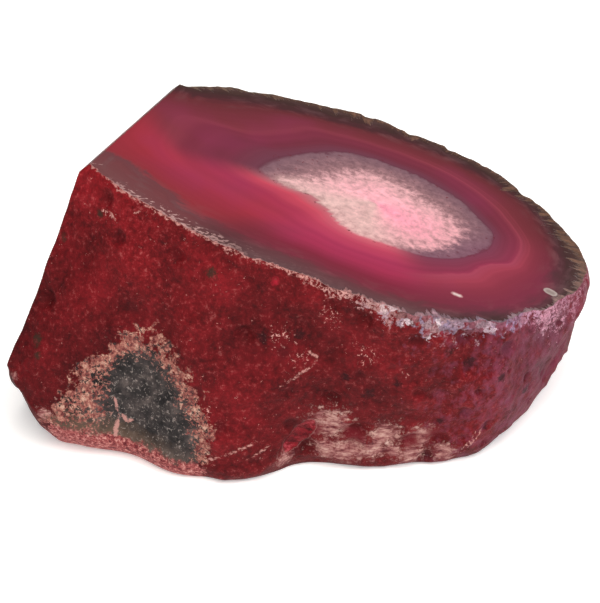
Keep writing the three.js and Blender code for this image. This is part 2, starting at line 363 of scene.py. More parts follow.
def outlineRadius(outline, angles):
    # Radius of a closed outline about the bands' middle, by direction, its corners rounded by a bell curve
    offset = np.array(outline, float) - bands["middle"]
    direction = np.arctan2(offset[:, 1], offset[:, 0])
    step, reach = 0.5, 20  # degrees between samples, and samples that the bell takes in on each side
    fine = np.radians(np.arange(0, 360, step))
    order = np.argsort(direction)
    radius = np.interp(fine, direction[order], np.hypot(*offset.T)[order], period=2 * np.pi)
    bell = np.exp(-(np.arange(-reach, reach + 1) * step / bands["smoothing"])**2)
    padded = np.concatenate([radius[-reach:], radius, radius[:reach]])
    rounded = np.convolve(padded, bell / bell.sum(), "valid")
    return np.interp(angles, fine, rounded, period=2 * np.pi)


def bandAt(along, across, depth):
    # How far in a place lies, 0 at the skin and 1 in the middle: straight lines between the outlines along
    # each radius on the face, times the square root of 1 - (depth / noduleDepth)^2 below it
    p, q = along - bands["middle"][0], across - bands["middle"][1]
    angle, radius = np.arctan2(q, p), np.hypot(p, q)
    rim = [station[0] for station in stations] + list(bands["rimPastEdge"])
    outlines = [rim, bands["skin"], bands["lightLine"], bands["quartz"], bands["clearQuartz"]]
    edges = [outlineRadius(outline, angle) for outline in outlines] + [np.zeros_like(radius)]
    value = np.zeros_like(radius)
    for outer, inner, low, high in zip(edges, edges[1:], bands["values"], bands["values"][1:]):
        gap = np.maximum(outer - inner, 0.05)  # never quite 0, where two outlines touch
        share = np.clip((outer - radius) / gap, 0, 1)
        value += (high - low) * share
    return value * np.sqrt(np.clip(1 - (depth / bands["noduleDepth"])**2, 0, 1)), angle


def sectorShare(angle, centre, halfWidth, fade):
    # 1 within halfWidth degrees of a direction, easing to 0 over the fade
    off = np.abs((np.degrees(angle) - centre + 180) % 360 - 180)
    return 1 - smoothStep(off, halfWidth - fade / 2, halfWidth + fade / 2)


grid = {
    "rindColumns": 552,
    "endColumns": 40,
    "wallRows": 106,
    "faceRings": 36,
    "footRings": 6,
    "rimCrowding": 1.25,  # over 1 crowds the wall's rows towards the rim
    "sharpAngle": 50.0,  # degrees: the shading breaks at edges that turn more than this
}


def stoneSurface():
    # One closed surface of rings: out over the face from its middle, down the wall, in over the foot.
    # Columns run round the rind and then straight across the sawn end.
    around = np.linspace(0, 1, grid["rindColumns"] + 1)
    down = np.linspace(0, 1, grid["wallRows"] + 1)**grid["rimCrowding"]
    wall = wallPoint(*np.meshgrid(around, down))
    height = relief(smoothWall(*np.meshgrid(around, down)))
    across = np.linspace(0, 1, grid["endColumns"] + 1)[1:-1]
    front, back = wall[:, 0], wall[:, -1]
    end = back[:, None] + (front - back)[:, None] * across[None, :, None]
    wall = np.concatenate([wall, end], axis=1)
    middle = faceCorner + bands["middle"][0] * faceAlong + bands["middle"][1] * faceAcross
    spread = np.linspace(0, 1, grid["faceRings"] + 1)[1:-1]
    face = middle + (wall[0] - middle)[None] * spread[:, None, None]
    footMiddle = wall[-1].mean(axis=0)
    inward = np.linspace(1, 0, grid["footRings"] + 1)[1:-1]
    foot = footMiddle + (wall[-1] - footMiddle)[None] * inward[:, None, None]
    rows = np.concatenate([face, wall, foot])
    rowCount, columnCount = rows.shape[:2]
    points = np.concatenate([rows.reshape(-1, 3), [middle, footMiddle]])
    column = np.arange(columnCount)
    beside = (column + 1) % columnCount
    first = np.arange(rowCount - 1)[:, None] * columnCount
    quads = np.stack([first + column, first + column + columnCount,
                      first + beside + columnCount, first + beside], -1).reshape(-1, 4)
    last = (rowCount - 1) * columnCount
    top = np.stack([np.full(columnCount, len(points) - 2), column, beside], -1)
    bottom = np.stack([last + beside, last + column, np.full(columnCount, len(points) - 1)], -1)
    rowOf = np.repeat(np.arange(rowCount - 1), columnCount)
    columnOf = np.tile(column, rowCount - 1)
    rimRow = len(face)  # the wall's first row
    onEnd = (columnOf >= grid["rindColumns"]) & (rowOf >= rimRow)
    # Material of each piece of the surface: 0 the face, 1 the rind, 2 the sawn end and the foot
    surface = np.where(rowOf < rimRow, 0, np.where(onEnd | (rowOf >= rimRow + len(wall) - 1), 2, 1))
    surface = np.concatenate([surface, np.zeros(columnCount, int), np.full(columnCount, 2)])
    aroundRim = np.concatenate([[0], np.cumsum(np.linalg.norm(np.diff(wall[0], axis=0), axis=1))])
    fromRim = np.concatenate([(1 - spread)[:, None] * np.linalg.norm(wall[0] - middle, axis=1),
                              np.zeros((len(wall) + len(foot), columnCount))])
    heights = np.zeros((rowCount, columnCount))
    heights[rimRow:rimRow + len(wall), :grid["rindColumns"] + 1] = height
    return {
        "points": points, "quads": quads, "ends": np.concatenate([top, bottom]), "surface": surface,
        "aroundRim": np.concatenate([np.tile(aroundRim, rowCount), [0, 0]]),
        "fromRim": np.concatenate([fromRim.ravel(), [99, 0]]),  # the face's middle counts as far inside
        "height": np.concatenate([heights.ravel(), [0, 0]]),
        "around": np.concatenate([np.tile(np.concatenate([around, 1 + 0 * across]), rowCount), [0, 0]]),
    }


crust = {
    # Pale crust on both sides of the rim: place round the rind (0 to 1), width down it and width on the face
    "widths": (
        (0, 0.5, 0.4), (0.06, 0.7, 0.8), (0.15, 0.7, 0.7), (0.24, 1.2, 0.8), (0.27, 2.4, 1.0),
        (0.31, 3.4, 1.3), (0.345, 4.6, 1.5), (0.385, 6.5, 1.7), (0.425, 5.0, 1.2), (0.45, 3.2, 1.0),
        (0.47, 3.6, 1.1), (0.5, 12.0, 1.2), (0.53, 4.6, 1.6), (0.56, 2.4, 3.2), (0.6, 1.6, 4.4),
        (0.64, 1.2, 4.8), (0.67, 1.0, 3.0), (0.7, 1.0, 4.2), (0.735, 1.0, 0.8), (0.76, 1.0, 3.2),
        (0.78, 1.0, 0.8), (0.8, 1.0, 3.4), (0.82, 1.0, 0.9), (0.84, 1.0, 3.6), (0.87, 1.0, 2.8),
        (0.89, 0.8, 1.4), (0.92, 0.8, 2.6), (0.94, 0.8, 1.2), (0.953, 0.8, 2.8), (0.97, 0.6, 1.5),
        (0.985, 0.6, 2.6), (0.999, 0.5, 1), (1, 0.5, 0.15)),
}

# Marks on the rind, in the stone's own millimetres: centre and radius
marks = {
    "greenSpots": (
        (-16.8, -25.5, 45, 1.3), (-46.8, -10.5, 43.1, 1.0), (-52.4, -19.8, 24.9, 1.3),
        (-52.2, -21.7, 22.6, 1.0), (-38.9, -12.3, 49.6, 0.9)),
    "darkPits": (
        (39.3, -29.3, 22.9, 1.3), (32.6, -31.4, 28.2, 1.3), (45.5, -22.7, 14.5, 1.2),
        (37.3, -28.6, 9.9, 0.9), (13.5, -32.7, 21.4, 1.2), (18.9, -33, 24.1, 1.0), (27.6, -30.7, 13.4, 1.0),
        (0, -29.8, 33.8, 1.3), (-7.3, -29.4, 32.7, 1.3), (8.7, -31.9, 25, 1.2), (28.5, -32.5, 31.8, 1.1)),
    "speckledPlaces": (
        (5.5, -30.3, 38, 3.2), (-4, -29.8, 33, 3.4), (-18.2, -31.5, 24, 1.6), (-18.4, -32.6, 17, 1.8),
        (-18.6, -33.3, 12, 1.7), (13, -32.3, 30.5, 3), (20.3, -33.2, 27, 1.4), (-22.9, -26.4, 33.8, 0.9),
        (-24.9, -23.8, 38.4, 1.0), (-28, -16, 53, 2.2), (-37, -12.7, 50.5, 2.4), (0, -31, 28.5, 2.4)),
    "wornPatches": (
        (5.9, -31.3, 12.9, 4.2), (9, -30.9, 5.8, 3.6), (5, -30.6, 6.3, 3), (16.8, -31.6, 9.8, 3.6),
        (23.8, -31.3, 9.5, 3), (14.5, -31.4, 6.6, 3), (10.6, -31.2, 6.4, 3), (18.6, -31, 5.6, 2.2),
        (22, -30, 4.5, 3.2), (29, -29.4, 4, 2.6), (-3.5, -31.5, 4, 2), (-51.3, -26, 10.8, 1.6),
        (-57.2, -21.7, 17.1, 0.9)),
    "dullSpots": (
        (2.6, -30.4, 11.3, 2.2), (10.3, -31.5, 10, 2.4), (22.1, -30.8, 8.4, 1.9), (26.8, -30.6, 9.4, 2.0)),
    "brightSpots": ((-4.7, -27.3, 44.4, 0.9), (0.5, -30, 9.5, 1.0), (-1.5, -30.7, 7.6, 1.0)),
}

# Thin pale lines on the rind, through these places, with their half widths
veins = (
    (((-3.9, -32.3, 22.8), (-1.5, -31.8, 24.2), (0, -31.6, 25.7), (2.3, -31.2, 27.1), (3.5, -30.7, 28.9),
      (1.7, -30.5, 30.2)), 0.3),
    (((-36.8, -25.9, 15.1), (-36.5, -26.4, 12.8)), 0.28),
    (((-36, -26.6, 12.2), (-36.6, -27, 9.5)), 0.2),
    (((-36.6, -27, 9.5), (-37.1, -27.4, 7)), 0.42),
    (((-35.2, -26.9, 11.3), (-34.6, -27.2, 10.3), (-33.8, -27.4, 10.6)), 0.4),
    (((36.6, -29.1, 10.8), (35.4, -29.1, 7.5), (33.7, -29.3, 4.9)), 0.2),
    (((35, -29.4, 9.4), (34.1, -29.4, 7), (32.6, -29.4, 4.8)), 0.18),
    (((-39.5, -11.6, 50.6), (-37.2, -12.7, 51), (-35.5, -14, 49.7)), 0.22),
    (((-31.5, -15.4, 52), (-29.5, -16.5, 53.6)), 0.22),
    (((-18.8, -34.3, 5.8), (-12, -34.5, 9), (-7.5, -34.1, 11)), 0.3),
    (((-17.5, -34.3, 4.8), (-11, -34.4, 6.2), (-6, -33.6, 9)), 0.25),
)


def nearMarks(points, places):  # distance to the nearest of some balls in its own radius: 1 on its edge
    return np.min([np.linalg.norm(points - place[:3], axis=-1) / place[3] for place in places], axis=0)


def nearLine(points, places, halfWidth):
    # Distance to a line of straight pieces, in half widths: each one's nearest place is start + share * run
    nearest = np.full(points.shape[:-1], np.inf)
    for start, end in zip(np.array(places), np.array(places)[1:]):
        run = end - start
        share = np.clip((points - start) @ run / (run @ run), 0, 1)[..., None]
        nearest = np.minimum(nearest, np.linalg.norm(points - start - share * run, axis=-1))
    return nearest / halfWidth


def crustPlace(around, under, fromRim):  # 1 at the rim, 0 where the crust's even width would end
    places, down, inward = np.array(crust["widths"]).T
    return 1 - under / np.interp(around, places, down) - fromRim / np.interp(around, places, inward)


print("working out the stone's surface")
surface = stoneSurface()
points = surface["points"]
depth = belowFace(points)
along, across = (points - faceCorner) @ faceAlong, (points - faceCorner) @ faceAcross
bandValue, bandAngle = bandAt(along, across, depth)
rimTurn = surface["aroundRim"] / surface["aroundRim"].max() * 2 * np.pi
rimRadius = surface["aroundRim"].max() / (2 * np.pi)

stoneMesh = bpy.data.meshes.new("agateStone")
placed = (points + [*stone["recentring"], 0]) * millimetre
stoneMesh.from_pydata(placed.tolist(), [], surface["quads"].tolist() + surface["ends"].tolist())
stoneMesh.polygons.foreach_set("material_index", surface["surface"].astype(np.int32))
stoneMesh.polygons.foreach_set("use_smooth", np.ones(len(surface["surface"]), bool))
stoneMesh.update()
stoneMesh.set_sharp_from_angle(angle=math.radians(grid["sharpAngle"]))

# Sides of the stone where the dye took in its own way: direction from the bands' middle, half width and fade
# of each in degrees. The sides' colours run together in the quartz, and the red of the left swings forward.
sides = {"left": (188.5, 25.5, 14), "front": (256, 38, 34), "right": (320, 30, 36)}
coreFade = 55 * smoothStep(bandValue, 0.78, 0.95)
leftTurn = math.radians(16) * smoothStep(bandValue, 0.42, 0.58)
attributes = {
    "band": bandValue,
    "onFace": np.stack([along, across, depth], -1),
    "inward": np.stack([rimRadius * np.cos(rimTurn), rimRadius * np.sin(rimTurn), surface["fromRim"]], -1),
    "endShare": sectorShare(bandAngle, 5, 62, 50),
    "crust": crustPlace(surface["around"], depth, surface["fromRim"]),
    "crustSide": surface["around"],
    "wornPlace": wornPlace(points)[0],
    "pitted": np.maximum(pitting(points, *rind["pits"][:2]), smallPitting(points)),
    "height": surface["height"],
    "laceReach": laceReach(points),
    "scarred": scarDepth(points, scars[0]),  # the other scars are dull
    "veined": np.min([nearLine(points, *vein) for vein in veins], axis=0),
}
for side, (centre, halfWidth, fade) in sides.items():
    angle = bandAngle - leftTurn if side == "left" else bandAngle
    attributes[side + "Share"] = sectorShare(angle, centre, halfWidth, fade + coreFade)
for name, places in marks.items():
    attributes[name] = nearMarks(points, np.array(places, float))
for name, values in attributes.items():
    kind, key = ("FLOAT_VECTOR", "vector") if values.ndim == 2 else ("FLOAT", "value")
    stoneMesh.attributes.new(name, kind, "POINT").data.foreach_set(key, values.astype(np.float32).ravel())
stoneMesh.validate()
agateStone = bpy.data.objects.new("agateStone", stoneMesh)
bpy.context.scene.collection.objects.link(agateStone)
triangles = 2 * len(surface["quads"]) + len(surface["ends"])
print("stone:", len(stoneMesh.vertices), "vertices,", triangles, "triangles")


def linearColour(hexColour):  # sRGB hex to linear red, green and blue
    channels = [int(hexColour[k:k + 2], 16) / 255 for k in (1, 3, 5)]
    return [c / 12.92 if c <= 0.04045 else ((c + 0.055) / 1.055)**2.4 for c in channels] + [1.0]


def addNode(tree, kind, settings, output=0):
    # Adds a node. A setting is a property, or an input by name or number, and a node's output given there is
    # linked. The limits in "range" are a Map Range's inputs 1 to 4: from low, high, to low, high.
    node = tree.nodes.new("ShaderNode" + kind)
    settings.update(enumerate(settings.pop("range", ()), 1))
    for name, value in settings.items():
        if name == "stops":
            while len(node.color_ramp.elements) < len(value):
                node.color_ramp.elements.new(1)
            for element, (place, colour) in zip(node.color_ramp.elements, value):
                element.position, element.color = place, linearColour(colour)
        elif isinstance(name, int) or name in node.inputs:
            socket = node.inputs[name]
            if isinstance(value, bpy.types.NodeSocket):
                tree.links.new(value, socket)
            else:
                socket.default_value = linearColour(value) if isinstance(value, str) else value
        else:
            setattr(node, name, value)
    return node.outputs[output] if node.outputs else node


def newMaterial(name):  # an empty material, and addNode for its tree
    material = bpy.data.materials.new(name)
    material.use_nodes = True
    material.node_tree.nodes.clear()
    return material, partial(addNode, material.node_tree)


def perMillimetres(size):  # a pattern's scale for marks of that size: Object coordinates are in metres
    return 1000 / size


# Colours of the bands from rim (0) to middle (1), on each side of the stone. Dye took unevenly.
bandColours = {
    "back": (
        (0, "#6c4a3e"), (0.06, "#4e3730"), (0.13, "#402826"), (0.22, "#4b262a"), (0.3, "#66292f"),
        (0.38, "#6e2b33"), (0.46, "#752d37"), (0.5, "#803340"), (0.56, "#782c3e"), (0.66, "#6f2c3c"),
        (0.735, "#6c3848"), (0.748, "#633342"), (0.76, "#7c5a64"), (0.84, "#936c71"), (0.9, "#dba6aa"),
        (0.96, "#f4afb9")),
    "left": (
        (0, "#6e4244"), (0.2, "#6e3a3e"), (0.27, "#693a3f"), (0.31, "#8a2d36"), (0.38, "#8e2b36"),
        (0.44, "#962c39"), (0.49, "#a03045"), (0.53, "#9b3043"), (0.62, "#9f304b"), (0.7, "#c2475a"),
        (0.76, "#b0747a"), (0.84, "#cda6a2"), (0.9, "#dab4b0")),
    "front": (
        (0, "#5c4044"), (0.1, "#5e3f42"), (0.2, "#61393e"), (0.25, "#64343b"), (0.285, "#722b3a"),
        (0.36, "#7a2538"), (0.46, "#9e2e4d"), (0.56, "#a33253"), (0.66, "#ba425c"), (0.73, "#c65c6c"),
        (0.8, "#d29498"), (0.9, "#d8b0ac")),
    "right": (
        (0, "#40302b"), (0.14, "#472d2f"), (0.22, "#5c303a"), (0.3, "#762c3f"), (0.38, "#812f40"),
        (0.45, "#97384a"), (0.49, "#a04157"), (0.52, "#8b304a"), (0.62, "#81344a"), (0.735, "#7a394e"),
        (0.748, "#6e3346"), (0.76, "#7c5363"), (0.83, "#85606c"), (0.88, "#da9fa5"), (0.97, "#fc9db3")),
}


def bandColour(node, band):  # the back's colours, and each other side's laid over them by its share
    colour = node("ValToRGB", {"Fac": band, "stops": bandColours["back"]})
    for side in sides:
        share = node("Attribute", {"attribute_name": side + "Share"}, "Fac")
        ramp = node("ValToRGB", {"Fac": band, "stops": bandColours[side]})
        colour = node("MixRGB", {"Fac": share, "Color1": colour, "Color2": ramp})
    return colour


# Pale inclusions in the face: start and run on it in millimetres, half width, colours of edge and middle
inclusions = (
    ((72.7, -17.6, 0), (1.1, -0.4, 0), 1.05, "#b07c7e", "#e3d0cb"),
    ((93.0, -9.5, 0), (0.7, -0.4, 0), 1.5, "#b3a59f", "#978983"),
)


def polishedAgate():
    # Polished agate: glassy, with soft bands along the rim, a fibrous skin and granular quartz in the middle
    material, node = newMaterial("polishedAgate")
    place = node("TexCoord", {}, "Object")
    band = node("Attribute", {"attribute_name": "band"}, "Fac")
    inward = node("Attribute", {"attribute_name": "inward"}, "Vector")
    onFace = node("Attribute", {"attribute_name": "onFace"}, "Vector")

    # The bands wander a little, and the quartz inside 0.75 has a ragged, granular edge
    drift = node("TexNoise", {"Vector": place, "Scale": perMillimetres(14), "Detail": 3})
    wander = node("MapRange", {"Value": drift, "range": (0.2, 0.8, -0.016, 0.016)})
    grains = node("TexNoise", {"Vector": place, "Scale": perMillimetres(1.6), "Detail": 4, "Roughness": 0.7})
    inQuartz = node("MapRange", {"Value": band, "range": (0.745, 0.8)})
    ragged = node("MapRange", {"Value": grains, "range": (0.25, 0.75, -0.045, 0.035)})
    ragged = node("Math", {"operation": "MULTIPLY", 0: ragged, 1: inQuartz})
    wandering = node("Math", {"operation": "ADD", 0: band, 1: wander})
    wandering = node("Math", {"operation": "ADD", 0: wandering, 1: ragged})
    alongRim = node("Mapping", {"Vector": inward, "Scale": (0.35, 0.35, 1)})
    wisps = node("TexNoise", {"Vector": alongRim, "Scale": 1 / 2.5, "Detail": 4, "Roughness": 0.6})
    inSkin = node("MapRange", {"Value": band, "range": (0.36, 0.24)})
    skinEdge = node("MapRange", {"Value": wisps, "range": (0.3, 0.7, -0.05, 0.05)})
    wandering = node("Math", {"operation": "MULTIPLY_ADD", 0: skinEdge, 1: inSkin, 2: wandering})
    colour = bandColour(node, wandering)
    paleWisps = node("MapRange", {"Value": wisps, "range": (0.5, 0.7, 0, 0.4)})
    paleWisps = node("Math", {"operation": "MULTIPLY", 0: paleWisps, 1: inSkin})
    colour = node("MixRGB", {"Fac": paleWisps, "Color1": colour, "Color2": "#6e5455"})

    # Fine growth lines, each a slightly lighter or darker shade
    lines = node("TexNoise", {"noise_dimensions": "1D", "W": wandering, "Scale": 26, "Detail": 3,
                              "Roughness": 0.5})
    shade = node("MapRange", {"Value": lines, "range": (0.3, 0.7, 0.96, 1.04)})
    colour = node("VectorMath", {"operation": "SCALE", 0: colour, "Scale": shade})

    # Soft clouds of purple in the red
    clouds = node("TexNoise", {"Vector": place, "Scale": perMillimetres(16), "Detail": 2})
    clouds = node("MapRange", {"Value": clouds, "range": (0.45, 0.7, 0, 0.32)})
    redShare = node("ValToRGB", {"Fac": band, "stops": (
        (0.3, "#000000"), (0.42, "#ffffff"), (0.66, "#ffffff"), (0.73, "#000000"))})
    clouds = node("Math", {"operation": "MULTIPLY", 0: clouds, 1: redShare})
    colour = node("MixRGB", {"Fac": clouds, "Color1": colour, "Color2": "#8c3157"})

    # A few light lines round the right end
    endShare = node("Attribute", {"attribute_name": "endShare"}, "Fac")
    lightLines = node("ValToRGB", {"Fac": wandering, "stops": (
        (0.43, "#000000"), (0.445, "#707070"), (0.455, "#303030"), (0.468, "#585858"), (0.478, "#181818"),
        (0.49, "#444444"), (0.503, "#888888"), (0.515, "#202020"), (0.54, "#000000"))})
    lightLines = node("Math", {"operation": "MULTIPLY", 0: lightLines, 1: endShare})
    colour = node("MixRGB", {"Fac": lightLines, "Color1": colour, "Color2": "#b14a5c"})

    # Quartz grains, light and dark, with a few red specks where the quartz begins at the front
    specks = node("TexNoise", {"Vector": place, "Scale": perMillimetres(1.0), "Detail": 3, "Roughness": 0.6})
    specks = node("MapRange", {"Value": specks, "range": (0.635, 0.66, 0, 0.85)})
    speckBand = node("ValToRGB", {"Fac": band, "stops": (
        (0.71, "#000000"), (0.74, "#ffffff"), (0.8, "#ffffff"), (0.84, "#000000"))})
    specks = node("Math", {"operation": "MULTIPLY", 0: specks, 1: speckBand})
    colour = node("MixRGB", {"Fac": specks, "Color1": colour, "Color2": "#6b2a35"})
    quartzShade = node("MapRange", {"Value": grains, "range": (0.36, 0.64, 0.83, 1.15)})
    quartzed = node("VectorMath", {"operation": "SCALE", 0: colour, "Scale": quartzShade})
    colour = node("MixRGB", {"Fac": inQuartz, "Color1": colour, "Color2": quartzed})

    # Pale crust inside the rim, streaked square to it and spiky where it is wide
    crustHere = node("Attribute", {"attribute_name": "crust"}, "Fac")
    stretched = node("Mapping", {"Vector": inward, "Scale": (1, 1, 0.22)})
    streaks = node("TexNoise", {"Vector": stretched, "Scale": 1 / 1.3, "Detail": 4, "Roughness": 0.65})
    spikes = node("MapRange", {"Value": streaks, "range": (0.3, 0.7, -1.15, 0.5)})
    crusted = node("Math", {"operation": "ADD", 0: crustHere, 1: spikes})
    crusted = node("MapRange", {"Value": crusted, "range": (0.1, 0.42, 0, 0.92)})
    crustSide = node("Attribute", {"attribute_name": "crustSide"}, "Fac")
    crustShade = node("ValToRGB", {"Fac": crustSide, "stops": (
        (0, "#a3706c"), (0.3, "#a3726f"), (0.42, "#7f6a78"), (0.52, "#80645f"), (0.6, "#6b4d3d"),
        (0.72, "#604438"), (0.85, "#614538"), (1, "#5c4a3e"))})
    crustGrain = node("TexNoise", {"Vector": place, "Scale": perMillimetres(0.7), "Detail": 3})
    crustGrain = node("MapRange", {"Value": crustGrain, "range": (0.3, 0.7, 0.6, 1.35)})
    streakShade = node("MapRange", {"Value": streaks, "range": (0.4, 0.62, 0.55, 1.35)})
    crustGrain = node("Math", {"operation": "MULTIPLY", 0: crustGrain, 1: streakShade})
    crustShade = node("VectorMath", {"operation": "SCALE", 0: crustShade, "Scale": crustGrain})
    colour = node("MixRGB", {"Fac": crusted, "Color1": colour, "Color2": crustShade})

    # Pale flecks up to about 3 mm inside the front rim, each drawn out along the stone
    fleckPlace = node("Mapping", {"Vector": onFace, "Scale": (0.85, 1.5, 0)})
    flecks = node("TexNoise", {"Vector": fleckPlace, "Detail": 2, "Roughness": 0.6, "Scale": 1})
    inMillimetres = node("SeparateXYZ", {"Vector": inward}, "Z")
    fleckZone = node("MapRange", {"Value": inMillimetres, "range": (0.4, 4.0, 0.11, -0.02)})
    fleckSide = node("ValToRGB", {"Fac": crustSide, "stops": (
        (0.03, "#000000"), (0.06, "#ffffff"), (0.15, "#ffffff"), (0.21, "#404040"), (0.42, "#000000"))})
    flecks = node("Math", {"operation": "ADD", 0: flecks, 1: fleckZone})
    clusters = node("TexNoise", {"Vector": place, "Scale": perMillimetres(7), "Detail": 1})
    flecks = node("Math", {"operation": "MULTIPLY_ADD", 0: clusters, 1: 0.35, 2: flecks})
    flecks = node("MapRange", {"Value": flecks, "range": (0.795, 0.825, 0, 0.85)})
    fleckFade = node("MapRange", {"Value": inMillimetres, "range": (3.5, 2.5)})
    flecks = node("Math", {"operation": "MULTIPLY", 0: flecks, 1: fleckSide})
    flecks = node("Math", {"operation": "MULTIPLY", 0: flecks, 1: fleckFade})
    colour = node("MixRGB", {"Fac": flecks, "Color1": colour, "Color2": "#b9928f"})

    # Two pale inclusions near the right end: share along each line, then the distance from it, in millimetres
    flat = node("VectorMath", {"operation": "MULTIPLY", 0: onFace, 1: (1, 1, 0)})
    for start, run, halfWidth, rimColour, middleColour in inclusions:
        offset = node("VectorMath", {"operation": "SUBTRACT", 0: flat, 1: start})
        share = node("VectorMath", {"operation": "DOT_PRODUCT", 0: offset, 1: run}, "Value")
        share = node("MapRange", {"Value": share, "range": (0, run[0]**2 + run[1]**2)})
        reached = node("VectorMath", {"operation": "SCALE", 0: run, "Scale": share})
        off = node("VectorMath", {"operation": "DISTANCE", 0: offset, 1: reached}, "Value")
        off = node("Math", {"operation": "MULTIPLY_ADD", 0: grains, 1: 0.7, 2: off})
        middle = node("MapRange", {"Value": off, "range": (0.45 * halfWidth, 0.75 * halfWidth)})
        inclusion = node("MixRGB", {"Fac": middle, "Color1": middleColour, "Color2": rimColour})
        within = node("MapRange", {"Value": off, "range": (halfWidth, 0.85 * halfWidth, 0, 0.85)})
        colour = node("MixRGB", {"Fac": within, "Color1": colour, "Color2": inclusion})

    roughness = node("MapRange", {"Value": crusted, "range": (0, 1, 0.16, 0.6)})
    bump = node("Bump", {"Height": crusted, "Strength": 0.6, "Distance": 0.0003})
    shader = node("BsdfPrincipled", {"Base Color": colour, "Roughness": roughness, "IOR": 1.54,
                                     "Specular IOR Level": 0.25, "Normal": bump})
    node("OutputMaterial", {"Surface": shader})
    return material


def dyedRind():
    # Natural rind soaked with red dye: matt, granular, with shade painted into its hollows, and freckled with
    # pale grains
    material, node = newMaterial("dyedRind")
    place = node("TexCoord", {}, "Object")
    across = node("SeparateXYZ", {"Vector": place}, "X")
    back = node("SeparateXYZ", {"Vector": place}, "Y")
    up = node("SeparateXYZ", {"Vector": place}, "Z")
    read = {name: node("Attribute", {"attribute_name": name}, "Fac") for name in (
        "height", "pitted", "scarred", "wornPlace", "laceReach", "veined", "crust", "crustSide", *marks)}

    blotches = node("TexNoise", {"Vector": place, "Scale": perMillimetres(8), "Detail": 5, "Roughness": 0.62})
    colour = node("ValToRGB", {"Fac": blotches, "stops": (
        (0.36, "#4a090e"), (0.46, "#640d12"), (0.54, "#771118"), (0.62, "#8e1821"))})
    grain = node("TexNoise", {"Vector": place, "Scale": perMillimetres(1.1), "Detail": 4, "Roughness": 0.75})
    grainColour = node("ValToRGB", {"Fac": grain, "stops": (
        (0.36, "#360609"), (0.45, "#5f0b10"), (0.53, "#741016"), (0.6, "#8e2228"), (0.67, "#ad5856"))})
    colour = node("MixRGB", {"Fac": 0.5, "Color1": colour, "Color2": grainColour})

    # A mauve film, streaked down the wall, over the right end as far as the wall turns to the back, and
    # paler high up in front
    streakPlace = node("Mapping", {"Vector": place, "Rotation": (0, 0.5, 0), "Scale": (1, 1, 0.65)})
    streaks = node("TexNoise", {"Vector": streakPlace, "Scale": perMillimetres(2.0), "Detail": 5,
                                "Roughness": 0.7})
    filmReach = node("MapRange", {"Value": across, "range": (-0.01, 0.05, -0.45, 0.13)})
    filmSide = node("MapRange", {"Value": back, "range": (-0.01, -0.022, 0.3, 0.78)})
    film = node("Math", {"operation": "ADD", 0: streaks, 1: filmReach})
    film = node("MapRange", {"Value": film, "range": (0.42, 0.7, 0, filmSide)})
    colour = node("MixRGB", {"Fac": film, "Color1": colour, "Color2": "#924760"})
    upperRight = node("VectorMath", {"operation": "DOT_PRODUCT", 0: place, 1: (1, 0, 1)}, "Value")
    upperRight = node("MapRange", {"Value": upperRight, "range": (0.07, 0.094, 0, 0.48)})
    film = node("Math", {"operation": "MULTIPLY", 0: film, 1: upperRight})
    inFront = node("MapRange", {"Value": back, "range": (-0.014, -0.023)})
    film = node("Math", {"operation": "MULTIPLY", 0: film, 1: inFront})
    colour = node("MixRGB", {"Fac": film, "Color1": colour, "Color2": "#c48a9e"})

    # Painted shade: darker colour in the hollows, low on the wall and at the far left end
    paintedHollowShade = node("MapRange", {"Value": read["height"], "range": (-1.8, 0.9, 0.55, 1.15)})
    paintedLowShade = node("MapRange", {"Value": up, "range": (0, 0.04, 0.76, 1.02)})
    paintedSideShade = node("MapRange", {"Value": across, "range": (-0.058, -0.035, 0.6, 1.03)})
    shade = node("Math", {"operation": "MULTIPLY", 0: paintedHollowShade, 1: paintedLowShade})
    shade = node("Math", {"operation": "MULTIPLY", 0: shade, 1: paintedSideShade})
    colour = node("VectorMath", {"operation": "SCALE", 0: colour, "Scale": shade})

    # Pale freckles, few over all and thick in some places
    fineGrain = node("TexNoise", {"Vector": place, "Scale": perMillimetres(0.75), "Detail": 4,
                                  "Roughness": 0.75, "Distortion": 0.5})
    speckled = node("MapRange", {"Value": read["speckledPlaces"], "range": (0, 1.4, 0.078, -0.055)})
    specks = node("Math", {"operation": "ADD", 0: fineGrain, 1: speckled})
    specks = node("MapRange", {"Value": specks, "range": (0.615, 0.66, 0, 0.9)})
    colour = node("MixRGB", {"Fac": specks, "Color1": colour, "Color2": "#d39a92"})

    # Dark floors of the pits, green-grey spots, worn patches streaked along the stone, and bright red spots
    pitFloor = node("MapRange", {"Value": read["pitted"], "range": (0.35, 0.9, 0, 0.45)})
    colour = node("MixRGB", {"Fac": pitFloor, "Color1": colour, "Color2": "#34090e"})
    fibrePlace = node("Mapping", {"Vector": place, "Rotation": (0, -0.25, 0), "Scale": (0.35, 1, 1)})
    fibres = node("TexNoise", {"Vector": fibrePlace, "Scale": perMillimetres(1.1), "Detail": 4,
                               "Roughness": 0.7})
    fibreColour = node("ValToRGB", {"Fac": fibres, "stops": (
        (0.34, "#561f25"), (0.42, "#82494a"), (0.5, "#a06d69"), (0.6, "#bb9086"), (0.7, "#d2b3aa"))})
    for name, markColour, strength, spread in (("darkPits", "#26070b", 0.8, 0.45),
                                               ("greenSpots", "#2f261c", 0.8, 0.5),
                                               ("wornPatches", fibreColour, 0.95, 0.8),
                                               ("dullSpots", "#6a1620", 0.85, 0.6),
                                               ("brightSpots", "#a31a2c", 0.9, 0.5)):
        ragged = node("MapRange", {"Value": grain, "range": (0.3, 0.7, -spread, spread)})
        near = node("Math", {"operation": "ADD", 0: read[name], 1: ragged})
        share = node("MapRange", {"Value": near, "range": (0.5, 1.15, strength, 0)})
        colour = node("MixRGB", {"Fac": share, "Color1": colour, "Color2": markColour})

